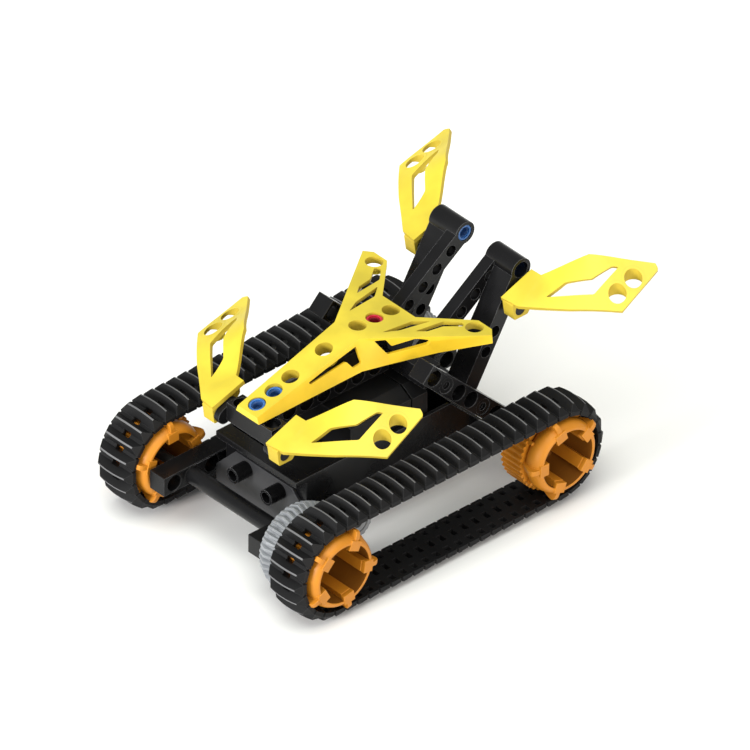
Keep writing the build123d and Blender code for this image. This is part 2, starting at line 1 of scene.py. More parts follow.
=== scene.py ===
"""Looks of the tracked tank chassis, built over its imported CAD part.

Shapes are written in millimetres from the middle of the front axle line, the way the CAD part
is laid out, and piece() moves them into the row frame. The front of the vehicle faces -Y.
"""
import bmesh
import bpy
import json
import math
import numpy as np
from mathutils import Matrix, Vector
from mathutils.geometry import delaunay_2d_cdt


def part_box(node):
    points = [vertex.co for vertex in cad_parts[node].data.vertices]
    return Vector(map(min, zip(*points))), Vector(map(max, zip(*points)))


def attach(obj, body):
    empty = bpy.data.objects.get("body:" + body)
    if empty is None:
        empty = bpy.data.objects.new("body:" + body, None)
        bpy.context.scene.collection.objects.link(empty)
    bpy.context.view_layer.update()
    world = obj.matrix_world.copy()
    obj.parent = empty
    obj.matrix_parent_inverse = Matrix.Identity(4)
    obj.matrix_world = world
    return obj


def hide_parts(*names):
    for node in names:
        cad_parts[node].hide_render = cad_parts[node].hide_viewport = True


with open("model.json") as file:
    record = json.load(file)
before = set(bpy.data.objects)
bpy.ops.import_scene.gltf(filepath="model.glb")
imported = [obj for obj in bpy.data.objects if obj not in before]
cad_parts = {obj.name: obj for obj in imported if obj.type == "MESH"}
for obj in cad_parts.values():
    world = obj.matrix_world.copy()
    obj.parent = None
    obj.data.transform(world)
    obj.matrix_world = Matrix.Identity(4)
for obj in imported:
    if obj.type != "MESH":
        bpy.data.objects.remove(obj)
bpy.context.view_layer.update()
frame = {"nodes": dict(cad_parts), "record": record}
nodes = frame["nodes"]
axle_low, axle_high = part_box("axle_front_right")
AXLE = Vector((0, (axle_low.y + axle_high.y) / 2, (axle_low.z + axle_high.z) / 2))
TO_ROW = Matrix.Translation(AXLE) @ Matrix.Scale(0.001, 4)
MM = 0.001
SIDES = (("right", 1), ("left", -1))

WHEELBASE = 130.0
FRONT_PIVOT = (5.3, 37.3)
REAR_SHIFT = (11.0, 127.21, 23.65)
ARM_HEAD = (140.3, 74.0)


# ---------------------------------------------------------------- materials

def material(name, color, roughness, edge_highlight_color, edge_mm=0.25, edge_highlight_share=0.6, specular=0.4, grain=0.25):
    """Moulded plastic: uneven colour, a painted highlight line along rounded edges, uneven roughness and a
    fine grain.
    """
    made = bpy.data.materials.new(name)
    made.use_nodes = True
    tree = made.node_tree
    shader = tree.nodes["Principled BSDF"]
    shader.inputs["Specular IOR Level"].default_value = specular

    def add(kind, **values):
        node = tree.nodes.new(kind)
        for key, value in values.items():
            setattr(node, key, value)
        return node

    place = add("ShaderNodeTexCoord").outputs["Object"]

    def noise(scale, detail):
        node = add("ShaderNodeTexNoise")
        node.inputs["Scale"].default_value = scale
        node.inputs["Detail"].default_value = detail
        tree.links.new(place, node.inputs["Vector"])
        return node.outputs["Fac"]

    def spread(source, low, high, to_low, to_high):
        node = add("ShaderNodeMapRange")
        for key, value in (("From Min", low), ("From Max", high), ("To Min", to_low), ("To Max", to_high)):
            node.inputs[key].default_value = value
        tree.links.new(source, node.inputs["Value"])
        return node.outputs["Result"]

    def mix(factor, first, second):
        node = add("ShaderNodeMix", data_type="RGBA")
        tree.links.new(factor, node.inputs["Factor"])
        for socket, value in ((node.inputs[6], first), (node.inputs[7], second)):
            if isinstance(value, tuple):
                socket.default_value = (*value, 1)
            else:
                tree.links.new(value, socket)
        return node.outputs[2]

    broad = noise(55, 3)
    fine = noise(1400, 2)
    dim = tuple(c * 0.90 for c in color)
    bright = tuple(min(1.0, c * 1.08) for c in color)
    body = mix(spread(broad, 0.35, 0.65, 0, 1), dim, bright)
    rounded = add("ShaderNodeBevel", samples=4)
    rounded.inputs["Radius"].default_value = edge_mm * MM
    geometry = add("ShaderNodeNewGeometry")
    turn = add("ShaderNodeVectorMath", operation="DOT_PRODUCT")
    tree.links.new(rounded.outputs["Normal"], turn.inputs[0])
    tree.links.new(geometry.outputs["Normal"], turn.inputs[1])
    # Painted edge highlight: the edge colour is laid along rounded edges as a light line, broken up by noise.
    # On the yellow it is darker, a painted shade line.
    edge = spread(turn.outputs["Value"], 0.995, 0.88, 0, edge_highlight_share)
    painted_edge_highlight = add("ShaderNodeMath", operation="MULTIPLY")
    tree.links.new(edge, painted_edge_highlight.inputs[0])
    tree.links.new(spread(noise(220, 2), 0.3, 0.6, 0.55, 1), painted_edge_highlight.inputs[1])
    tree.links.new(mix(painted_edge_highlight.outputs[0], body, edge_highlight_color), shader.inputs["Base Color"])
    tree.links.new(spread(broad, 0.3, 0.7, roughness - 0.05, roughness + 0.07), shader.inputs["Roughness"])
    bump = add("ShaderNodeBump")
    bump.inputs["Strength"].default_value = grain
    bump.inputs["Distance"].default_value = 0.00004
    tree.links.new(fine, bump.inputs["Height"])
    tree.links.new(bump.outputs["Normal"], shader.inputs["Normal"])
    return made


# The fourth colour of each material is its painted edge highlight; on the yellow it is a darker painted shade
# line.
BLACK = material("black_plastic", (0.0055, 0.0055, 0.006), 0.28, (0.20, 0.20, 0.21), 0.26, 0.85, 0.2)
GREY_FACE = material("grey_face_plastic", (0.035, 0.035, 0.037), 0.42, (0.14, 0.14, 0.145), 0.22, 0.6, 0.3)
RUBBER = material("track_rubber", (0.008, 0.008, 0.0085), 0.5, (0.07, 0.07, 0.073), 0.16, 0.7, 0.14, 0.5)
# Lighter rubber for the lug ridge tops: a painted highlight where the light catches them.
RUBBER_RIDGE_HIGHLIGHT = material("rubber_ridge_painted_highlight", (0.13, 0.13, 0.135), 0.6, (0.2, 0.2, 0.2), 0.15, 0.5, 0.25, 0.6)
YELLOW = material("yellow_plastic", (0.63, 0.50, 0.038), 0.34, (0.42, 0.30, 0.03), 0.3, 0.55, 0.35)
# Hole walls, rims and the wing feet: the same yellow plastic, painted darker and more golden as shade.
YELLOW_WALL_SHADE = material("yellow_walls_painted_shade", (0.50, 0.37, 0.035), 0.5, (0.62, 0.47, 0.05), 0.3, 0.4, 0.2)
ORANGE = material("orange_plastic", (0.50, 0.185, 0.012), 0.42, (0.74, 0.34, 0.05), 0.3, 0.6, 0.3)
# Inside of the sprocket drum: the same orange plastic, painted darker as shade.
DRUM_SHADE = material("drum_inside_painted_shade", (0.17, 0.06, 0.006), 0.55, (0.3, 0.12, 0.02), 0.3, 0.4, 0.12)
# The same yellow plastic, painted more orange as the shade on side-facing skirts.
YELLOW_SIDE_SHADE = material("yellow_skirts_painted_shade", (0.72, 0.47, 0.02), 0.4, (0.85, 0.68, 0.09), 0.3, 0.6, 0.3)
# Peg recesses: the same blue and red plastic, painted darker as shade in the dish.
BLUE_SHADE = material("blue_recess_painted_shade", (0.012, 0.045, 0.15), 0.45, (0.05, 0.13, 0.30), 0.3, 0.5, 0.25)
RED_SHADE = material("red_recess_painted_shade", (0.14, 0.002, 0.008), 0.45, (0.3, 0.02, 0.04), 0.3, 0.5, 0.25)
INNER_BLACK = material("inner_black", (0.006, 0.006, 0.0065), 0.4, (0.12, 0.12, 0.125), 0.25, 0.8, 0.2)
GREY = material("grey_plastic", (0.22, 0.23, 0.245), 0.42, (0.5, 0.51, 0.52), 0.25, 0.6, 0.4)
BLUE = material("blue_plastic", (0.018, 0.10, 0.34), 0.3, (0.25, 0.5, 0.85), 0.3, 0.9, 0.45)
RED = material("red_plastic", (0.50, 0.006, 0.028), 0.35, (0.85, 0.16, 0.22), 0.35, 0.9, 0.4)
AXLE_BLACK = material("axle_plastic", (0.025, 0.024, 0.023), 0.45, (0.08, 0.08, 0.08), 0.2, 0.5, 0.3)
SLOT_MATERIAL = {
    "track_rubber": RUBBER, "black_plastic": BLACK, "yellow_plastic": YELLOW, "orange_plastic": ORANGE,
    "grey_plastic": GREY, "blue_plastic": BLUE, "red_plastic": RED, "axle_plastic": AXLE_BLACK,
}
NODE_SLOT = {part["node"]: part["material_slot"] for part in frame["record"]["subparts"]}
NODE_BODY = {n: body for body, members in frame["record"]["behaviour"]["bodies"].items() for n in members}


# ---------------------------------------------------------------- building tools

def piece(name, bm, cad_nodes, materials, smooth=35, bevel_mm=0.0, weld=True):
    """Turn a mesh in millimetres into a piece that stands for the CAD nodes."""
    if weld:
        bmesh.ops.remove_doubles(bm, verts=bm.verts, dist=0.002)
    bmesh.ops.recalc_face_normals(bm, faces=bm.faces)
    mesh = bpy.data.meshes.new(name)
    bm.to_mesh(mesh)
    bm.free()
    mesh.transform(TO_ROW)
    for each in materials:
        mesh.materials.append(each)
    mesh.shade_smooth()
    mesh.set_sharp_from_angle(angle=math.radians(smooth))
    made = bpy.data.objects.new(name, mesh)
    bpy.context.scene.collection.objects.link(made)
    if bevel_mm:
        add_bevel(made, bevel_mm)
    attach(made, NODE_BODY[cad_nodes[0]])
    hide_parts(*cad_nodes)
    return made


def add_bevel(thing, width_mm, segments=2, angle=35):
    bevel = thing.modifiers.new("edges", "BEVEL")
    bevel.width = width_mm * MM
    bevel.segments = segments
    bevel.limit_method = "ANGLE"
    bevel.angle_limit = math.radians(angle)
    bevel.harden_normals = False
    flow = thing.modifiers.new("flow", "WEIGHTED_NORMAL")
    flow.keep_sharp = False
    flow.weight = 60


def circle(y, z, r, count=32, first=0.0):
    return [(y + r * math.cos(first + math.tau * k / count), z + r * math.sin(first + math.tau * k / count))
            for k in range(count)]


def side(x, sign=1, y=0.0, z=0.0):
    """Place for flat shapes in a side plane: depth goes outward for the given side."""
    return lambda u, v, depth: Vector((sign * (x + depth), y + u, z + v))


def inside(point, loop):
    """True if a flat point lies inside a closed loop."""
    x, y = point
    odd = False
    for k in range(len(loop)):
        (x0, y0), (x1, y1) = loop[k - 1], loop[k]
        if (y0 > y) != (y1 > y) and x < x0 + (y - y0) / (y1 - y0) * (x1 - x0):
            odd = not odd
    return odd


def skin(outline, holes, extra=()):
    """Points, triangles and source corners of a flat outline with holes in it."""
    points, edges = [], []
    for loop in [outline, *holes]:
        start = len(points)
        points += [Vector(point) for point in loop]
        edges += [(start + k, start + (k + 1) % len(loop)) for k in range(len(loop))]
    points += [Vector(point) for point in extra]
    flat, _, faces, sources, _, _ = delaunay_2d_cdt(points, edges, [], 1, 1e-5)
    kept = []
    for face in faces:
        middle = sum((flat[k] for k in face), Vector((0, 0))) / len(face)
        if inside(middle, outline) and not any(inside(middle, hole) for hole in holes):
            kept.append(face)
    return flat, kept, sources


def prism(bm, outline, place, low, high, holes=(), cap=0, wall=0):
    """Add a flat solid between two depths, with holes through it."""
    flat, faces, _ = skin(outline, holes)
    for depth in (low, high):
        corners = [bm.verts.new(place(point.x, point.y, depth)) for point in flat]
        for face in faces:
            bm.faces.new([corners[k] for k in face]).material_index = cap
    for loop in [outline, *holes]:
        rows = [[bm.verts.new(place(u, v, depth)) for u, v in loop] for depth in (low, high)]
        for k in range(len(loop)):
            after = (k + 1) % len(loop)
            bm.faces.new((rows[0][k], rows[0][after], rows[1][after], rows[1][k])).material_index = wall


def lathe(bm, profile, place, count=64, closed=False, materials=None):
    """Add a turned shape: profile is (depth, radius) pairs, place takes (u, v, depth)."""
    rings = []
    for depth, radius in profile:
        rings.append([bm.verts.new(place(u, v, depth)) for u, v in circle(0, 0, radius, count)])
    pairs = list(zip(rings, rings[1:]))
    if closed:
        pairs.append((rings[-1], rings[0]))
    for n, (one, two) in enumerate(pairs):
        for k in range(count):
            after = (k + 1) % count
            face = bm.faces.new((one[k], one[after], two[after], two[k]))
            face.material_index = materials[n] if materials else 0


def normal_frame(origin, normal):
    """Place whose depth runs down, against the given normal."""
    across = Vector((1, 0, 0)) - normal * normal.x
    across.normalize()
    along = normal.cross(across)
    return lambda u, v, depth: origin + across * u + along * v - normal * depth


# ---------------------------------------------------------------- tracks

TRACK_PITCHES = 60
TRACK_MIDDLE_X = 56.0
BELT_INSIDE_R = 20
LUG_STEP = 6.5
RIDGE_END = 8.5
SLOT_HALF = 2.25


def belt_point(t, h):
    """Y and Z on the belt, t pitches round it and h above the belt's inside."""
    t %= TRACK_PITCHES
    reach = BELT_INSIDE_R + h
    if t <= 20:
        return t * LUG_STEP, reach
    if t <= 30:
        turn = math.radians((t - 20) * 18)
        return WHEELBASE + reach * math.sin(turn), reach * math.cos(turn)
    if t <= 50:
        return WHEELBASE - (t - 30) * LUG_STEP, -reach
    turn = math.radians((t - 50) * 18)
    return -reach * math.sin(turn), -reach * math.cos(turn)


def make_track(name, sign):
    bm = bmesh.new()
    middle = TRACK_MIDDLE_X * sign
    rows = (-8.5, -5.5, -2.25, 2.25, 5.5, 8.5)
    outer = {"a": -0.5, "b": -0.40, "c": -0.308, "d": -0.05, "e": 0.05, "f": 0.308, "g": 0.40, "h": 0.5}
    height = {"a": 2.0, "b": 2.0, "c": 3.0, "d": 5.8, "e": 5.8, "f": 3.0, "g": 2.0, "h": 2.0}
    inner = {"a": -0.5, "b": -0.40, "c": -0.308, "p": -0.22, "q": 0.22, "f": 0.308, "g": 0.40, "h": 0.5}

    def vert(t, x, h):
        y, z = belt_point(t, h)
        return bm.verts.new((middle + x, y, z))

    for lug in range(TRACK_PITCHES):

        def top(column, x):
            h = height[column]
            if h > 2.0:
                h -= (0.9 if h > 5 else 0.25) * (x / RIDGE_END) ** 2
            return vert(lug + outer[column], x, h)

        def low(column, x, h=0.0):
            return vert(lug + inner[column], x, h)

        def edge(column, end, h):
            table = outer if column in outer else inner
            return vert(lug + table[column], end * (10.0 if column in "ah" else 11.0), h)

        columns = "abcdefgh"
        for x0, x1 in zip(rows, rows[1:]):
            slot_row = x0 > -SLOT_HALF - 0.1 and x1 < SLOT_HALF + 0.1
            for one, two in zip(columns, columns[1:]):
                if slot_row and one + two in ("ab", "bc", "fg", "gh"):
                    continue
                face = bm.faces.new((top(one, x0), top(two, x0), top(two, x1), top(one, x1)))
                # The ridge tops take the lighter rubber, a painted highlight.
                face.material_index = 1 if one == "d" else 0
        for end in (-1, 1):
            x = end * RIDGE_END
            bm.faces.new((top("a", x), top("b", x), edge("b", end, 2), edge("a", end, 2)))
            bm.faces.new((top("b", x), top("c", x), top("d", x), edge("b", end, 2)))
            bm.faces.new((top("d", x), top("e", x), edge("g", end, 2), edge("b", end, 2)))
            bm.faces.new((top("e", x), top("f", x), top("g", x), edge("g", end, 2)))
            bm.faces.new((top("g", x), top("h", x), edge("h", end, 2), edge("g", end, 2)))
            bm.faces.new((edge("a", end, 2), edge("b", end, 2), edge("b", end, 0), edge("a", end, 0)))
            chain = [edge(c, end, 0) for c in "gfqpcb"]
            bm.faces.new((edge("b", end, 2), edge("g", end, 2), *chain))
            bm.faces.new((edge("g", end, 2), edge("h", end, 2), edge("h", end, 0), edge("g", end, 0)))
        low_rows = (None, -9.4, -6.0, -2.25, 2.25, 6.0, 9.4, None)
        low_columns = "abcpqfgh"
        for n, (x0, x1) in enumerate(zip(low_rows, low_rows[1:])):
            for one, two in zip(low_columns, low_columns[1:]):
                if x0 == -SLOT_HALF and one + two in ("ab", "bc", "fg", "gh"):
                    continue
                quad = []
                for column, x in ((one, x0), (two, x0), (two, x1), (one, x1)):
                    quad.append(edge(column, -1 if n == 0 else 1, 0) if x is None else low(column, x))
                if one == "p" and n in (1, 5):
                    deep = [vert(lug + s, x, 1.7) for s, x in
                            ((-0.10, x0 + 0.5), (0.10, x0 + 0.5), (0.10, x1 - 0.5), (-0.10, x1 - 0.5))]
                    bm.faces.new(deep)
                    for k in range(4):
                        after = (k + 1) % 4
                        bm.faces.new((quad[k], quad[after], deep[after], deep[k]))
                else:
                    bm.faces.new(quad)
        for x in (-SLOT_HALF, SLOT_HALF):
            bm.faces.new((top("a", x), top("b", x), top("c", x), low("c", x), low("b", x), low("a", x)))
            bm.faces.new((top("f", x), top("g", x), top("h", x), low("h", x), low("g", x), low("f", x)))
        for column in "cf":
            bm.faces.new((top(column, -SLOT_HALF), top(column, SLOT_HALF),
                          low(column, SLOT_HALF), low(column, -SLOT_HALF)))
    piece(f"{name}_belt", bm, [name], [RUBBER, RUBBER_RIDGE_HIGHLIGHT], smooth=22)


# ---------------------------------------------------------------- sprockets

SPROCKET_START_X = 47.2
SPROCKET_TEETH = 40
SPROCKET_EARS = 5
SPROCKET_SHIFT_LEFT = -112


def make_sprocket(name, shift, y, first_ear):
    bm = bmesh.new()
    start = SPROCKET_START_X + shift

    def place(u, v, depth):
        return Vector((start + depth, y + u, v))

    teeth = []
    for tooth in range(SPROCKET_TEETH):
        middle = math.tau * tooth / SPROCKET_TEETH
        for r, turn in ((18.3, -0.055), (19.5, -0.022), (19.5, 0.022), (18.3, 0.055)):
            teeth.append((r * math.cos(middle + turn), r * math.sin(middle + turn)))
    for depth, bore in ((0.0, 2.4), (12.6, 13.9)):
        flat, faces, _ = skin(teeth, [circle(0, 0, bore, 80)])
        corners = [bm.verts.new(place(point.x, point.y, depth)) for point in flat]
        for face in faces:
            bm.faces.new([corners[k] for k in face])
    rows = [[bm.verts.new(place(u, v, depth)) for u, v in teeth] for depth in (0.0, 12.6)]
    for k in range(len(teeth)):
        after = (k + 1) % len(teeth)
        bm.faces.new((rows[0][k], rows[0][after], rows[1][after], rows[1][k]))
    inner = [(0.0, 2.4), (6.6, 2.4), (6.8, 2.8), (6.8, 4.6), (6.4, 5.0), (3.2, 5.1), (2.8, 5.4), (2.8, 12.4),
             (3.2, 12.8), (12.6, 13.9)]
    outer = [(22.2, 14.2), (22.5, 14.4), (22.5, 15.2), (22.2, 15.7), (21.4, 16.5), (19.8, 17.3),
             (17.8, 17.8), (15.8, 17.7), (14.2, 17.2), (13.4, 16.6), (13.2, 15.4), (12.6, 15.4)]
    # The bore and cavity take the drum's painted shade; the outside stays orange.
    lathe(bm, inner + outer, place, 80, materials=[1] * len(inner) + [0] * len(outer))
    for ear in range(SPROCKET_EARS):
        facing = math.radians(first_ear + 360 / SPROCKET_EARS * ear)
        add_fin(bm, place, facing)
        add_block(bm, place, facing, (11.3, 16.2), (-3.0, 3.0), (20.6, 22.8))
        add_block(bm, place, facing, (10.9, 14.4), (-2.8, 2.8), (2.8, 20.6), 0.06)
        add_block(bm, place, facing + 0.63, (15.0, 18.6), (-0.8, 0.8), (12.6, 15.4))
    piece(f"{name}_wheel", bm, [name], [ORANGE, DRUM_SHADE], smooth=40, bevel_mm=0.18, weld=False)


def turned(facing, radial, across):
    """Flat place at a radius and a distance beside it, turned to an angle."""
    return (radial * math.cos(facing) - across * math.sin(facing),
            radial * math.sin(facing) + across * math.cos(facing))


def add_block(bm, place, facing, radii, across, depths, taper=0.0):
    """Add a block on a radius. It can be narrower at its inner radius."""
    corners = []
    for depth in depths:
        for r, share in ((radii[0], 1 - taper), (radii[1], 1.0)):
            for side_offset in across:
                corners.append(bm.verts.new(place(*turned(facing, r, side_offset * share), depth)))
    for quad in ((0, 1, 3, 2), (4, 6, 7, 5), (0, 2, 6, 4), (1, 5, 7, 3), (0, 4, 5, 1), (2, 3, 7, 6)):
        bm.faces.new([corners[k] for k in quad])


def add_fin(bm, place, facing):
    """A thin leaf-shaped fin that stands on the drum, highest close to the rim."""
    crest = ((12.6, 17.4), (14.2, 18.6), (16.4, 19.6), (18.6, 20.3), (20.2, 20.5), (21.4, 20.0), (22.1, 18.8),
             (22.3, 17.2), (22.2, 15.2))
    foot = (12.6, 15.2)
    sheets = []
    for across in (-1.15, 1.15):
        sheets.append([bm.verts.new(place(*turned(facing, r, across), depth)) for depth, r in (*crest, foot)])
    one, two = sheets
    bm.faces.new(one)
    bm.faces.new(two)
    for k in range(len(one)):
        after = (k + 1) % len(one)
        bm.faces.new((one[k], one[after], two[after], two[k]))


# ---------------------------------------------------------------- gears

def make_gear(name, sign, x, y, teeth, first_angle):
    bm = bmesh.new()
    pitch_r = teeth / 2
    place = side(x, sign, y)
    stations = ((0.0, -2.2, -2.3), (0.5, -1.7, -1.2), (5.2, -1.1, 1.0), (9.9, -1.7, -1.2), (10.4, -2.2, -2.3))

    def tooth_ring(root, tip):
        """Flat outline of the teeth, from their roots' and tips' distances beyond the pitch circle."""
        ring = []
        for tooth in range(teeth):
            middle = math.radians(first_angle + 360 / teeth * tooth)
            wide, slim = math.radians(360 / teeth * 0.36), math.radians(360 / teeth * 0.14)
            for r, turn in ((root, -wide), (tip, -slim), (tip, slim), (root, wide)):
                reach = pitch_r + r
                ring.append((reach * math.cos(middle + turn), reach * math.sin(middle + turn)))
        return ring

    rings = [[bm.verts.new(place(u, v, depth)) for u, v in tooth_ring(root, tip)]
             for depth, root, tip in stations]
    count = teeth * 4
    for one, two in zip(rings, rings[1:]):
        for k in range(count):
            after = (k + 1) % count
            bm.faces.new((one[k], one[after], two[after], two[k]))
    rim = pitch_r - 2.3
    for depth, inward in ((0.0, 1), (10.4, -1)):
        profile = [(depth, rim - 0.2), (depth, rim - 1.6), (depth + inward * 1.2, rim - 2.0)]
        profile += [(depth + inward * 1.2, 5.4), (depth, 5.0), (depth, 2.4)]
        lathe(bm, profile, place, 64)
    for depth in (0.0, 10.4):
        flat, faces, _ = skin(tooth_ring(-2.2, -2.3), [circle(0, 0, rim - 0.2, 64)])
        corners = [bm.verts.new(place(point.x, point.y, depth)) for point in flat]
        for face in faces:
            bm.faces.new([corners[k] for k in face])
    lathe(bm, [(0.0, 2.4), (10.4, 2.4)], place, 64)
    piece(f"{name}_wheel", bm, [name], [GREY], smooth=25)


# ---------------------------------------------------------------- panel

NOSE_START = (5.0, 47.7)
NOSE_END = (63.0, 63.7)
TAIL_END = (115.0, 61.2)


def panel_height(y):
    one, two = (NOSE_START, NOSE_END) if y < NOSE_END[0] else (NOSE_END, TAIL_END)
    return one[1] + (y - one[0]) / (two[0] - one[0]) * (two[1] - one[1])


def add_facet(bm, corners, holes, finish=0):
    """Add a flat facet through 3-D corners. Holes are given in 3-D too and are laid into the facet."""
    origin = Vector(corners[0])
    across = (Vector(corners[1]) - origin).normalized()
    normal = across.cross(Vector(corners[2]) - origin).normalized()
    up = normal.cross(across)

    def flatten(point):
        offset = Vector(point) - origin
        return (offset.dot(across), offset.dot(up))

    flat, faces, sources = skin([flatten(point) for point in corners],
                                [[flatten(point) for point in hole] for hole in holes])
    made = []
    for place, source in zip(flat, sources):
        if source and source[0] < len(corners):
            made.append(bm.verts.new(Vector(corners[source[0]])))
        else:
            made.append(bm.verts.new(origin + across * place.x + up * place.y))
    for face in faces:
        bm.faces.new([made[k] for k in face]).material_index = finish


def round_corners(points, radius, steps=3):
    """Round every corner of a closed 3-D outline a little."""
    out = []
    for k, point in enumerate(points):
        here = Vector(point)
        before, after = Vector(points[k - 1]) - here, Vector(points[(k + 1) % len(points)]) - here
        reach = min(radius, before.length * 0.4, after.length * 0.4)
        start, end = here + before.normalized() * reach, here + after.normalized() * reach
        for n in range(steps + 1):
            t = n / steps
            out.append(start * (1 - t) ** 2 + here * 2 * t * (1 - t) + end * t ** 2)
    return out


def hole_on_panel(x, y, r, count=40):
    slope = (panel_height(y + 1) - panel_height(y - 1)) / 2
    normal = Vector((0, -slope, 1)).normalized()
    place = normal_frame(Vector((x, y, panel_height(y))), normal)
    return place, [place(u, v, 0) for u, v in circle(0, 0, r, count)]


def make_panel():
    bm = bmesh.new()
    nose_holes = [hole_on_panel(0, y, 4.05)[1] for y in (10.5, 20.2, 30.0, 49.5)]
    half_top, low_front, low_rear = 6.3, (7.5, 5.0, 44.5), (13.2, 60.2, 50.0)
    nose = [(-half_top, *NOSE_START), (half_top, *NOSE_START), (8.2, *NOSE_END), (-8.2, *NOSE_END)]
    add_facet(bm, nose, nose_holes)
    nose_face = [(-7.5, 5.0, 44.5), (7.5, 5.0, 44.5), (half_top, *NOSE_START), (-half_top, *NOSE_START)]
    add_facet(bm, nose_face, [])
    edge = [(8.2, 63.0), (42.5, 109.8), (38.8, 113.0), (30.0, 113.0), (27.8, 110.9), (10.8, 93.2)]
    outline = [(x, y, panel_height(y)) for x, y in edge]
    outline += [(-x, y, panel_height(y)) for x, y in reversed(edge)]
    slots = [
        [(17.4, 96.3), (12.4, 90.1), (10.7, 73.9), (14.3, 80.8)],
        [(29.2, 104.8), (27.1, 106.8), (20.9, 100.5), (19.1, 85.8), (22.5, 89.9), (23.8, 97.8)],
    ]
    tail_holes = [hole_on_panel(0, y, 4.05)[1] for y in (69.1, 79.0, 88.5)]
    for sign in (1, -1):
        tail_holes.append(hole_on_panel(sign * 32.9, 108.0, 4.05)[1])
        for slot in slots:
            loop = [(sign * x, y, panel_height(y)) for x, y in slot]
            tail_holes.append(round_corners(loop, 0.8))
    add_facet(bm, outline, tail_holes)
    nose_slot = [(7.6, 33.6, 53.6), (8.1, 43.5, 56.6), (8.6, 60.4, 61.0), (11.8, 61.0, 53.4),
                 (11.4, 56.5, 52.6), (10.0, 53.8, 56.4), (8.2, 34.4, 52.5)]
    arm_slot = [(11.9, 68.1, 61.9), (15, 72.3, 62.1), (16.4, 74.3, 58.7), (22.8, 82.9, 62),
                (26.2, 87.5, 60.9), (26.5, 88.1, 59.7), (25.9, 87.2, 58.2), (15.4, 73.1, 54.2)]
    for sign in (1, -1):
        skirt = [(6.3, *NOSE_START), (8.2, *NOSE_END), low_rear, low_front]
        hole = round_corners([(sign * x, y, z) for x, y, z in nose_slot], 0.6)
        # The skirts take the third material, the yellow painted with side shade.
        add_facet(bm, [(sign * x, y, z) for x, y, z in skirt], [hole], 2)
        arm = [(8.2, *NOSE_END), (42.5, 109.8, panel_height(109.8)), (42.6, 110.0, 57.2), (27.0, 92.0, 52.3),
               (17.0, 74.0, 49.6), low_rear]
        hole = round_corners([(sign * x, y, z) for x, y, z in arm_slot], 0.6)
        add_facet(bm, [(sign * x, y, z) for x, y, z in arm], [hole], 2)
    bmesh.ops.remove_doubles(bm, verts=bm.verts, dist=0.05)
    shell = piece("top_panel_shell", bm, ["top_panel"], [YELLOW, YELLOW_WALL_SHADE, YELLOW_SIDE_SHADE], smooth=25)
    thick = shell.modifiers.new("thickness", "SOLIDIFY")
    thick.thickness = 1.8 * MM
    thick.offset = -1
    thick.use_even_offset = True
    # The panel's rims and hole walls get the darker yellow painted as shade.
    thick.material_offset_rim = 1
    add_bevel(shell, 0.22, 2, 28)
    bm = bmesh.new()
    places = [(0, y) for y in (10.5, 20.2, 30.0, 49.5, 69.1, 79.0, 88.5)] + [(32.9, 108.0), (-32.9, 108.0)]
    for x, y in places:
        place, _ = hole_on_panel(x, y, 4.0)
        depth = {10.5: 3.3, 20.2: 4.9, 30.0: 5.2, 108.0: 3.4}.get(y, 6.6)
        # Boss bores and their bottoms get the darker yellow painted as shade.
        lathe(bm, [(0.3, 4.04), (depth, 4.0), (depth, 5.1), (1.2, 5.1)], place, 40, True, (1, 1, 0, 0))
    piece("top_panel_bosses", bm, ["top_panel"], [YELLOW, YELLOW_WALL_SHADE], smooth=40, weld=False)


# ---------------------------------------------------------------- wings

def thin_plate(known, values):
    """Smooth height field through known heights at flat places."""
    known, values = np.array(known, float), np.array(values, float)

    def kernel(one, two):
        square = ((one[:, None, :] - two[None, :, :]) ** 2).sum(2)
        return np.where(square > 0, square * np.log(np.maximum(square, 1e-9)), 0)

    count = len(known)
    system = np.zeros((count + 3, count + 3))
    system[:count, :count] = kernel(known, known)
    system[:count, count:] = np.hstack([np.ones((count, 1)), known])
    system[count:, :count] = system[:count, count:].T
    weights = np.linalg.solve(system, np.concatenate([values, np.zeros(3)]))

    def height(places):
        places = np.array(places, float)
        return kernel(places, known) @ weights[:count] + weights[count] + places @ weights[count + 1:]
    return height


def split_loop(loop, step, keep_last=False):
    """Put extra points on the long sides of a flat loop."""
    out = []
    for k in range(len(loop)):
        one, two = np.array(loop[k]), np.array(loop[(k + 1) % len(loop)])
        whole = keep_last and k == len(loop) - 1
        parts = 1 if whole else max(1, int(round(np.linalg.norm(two - one) / step)))
        out += [tuple(one + (two - one) * n / parts) for n in range(parts)]
    return out


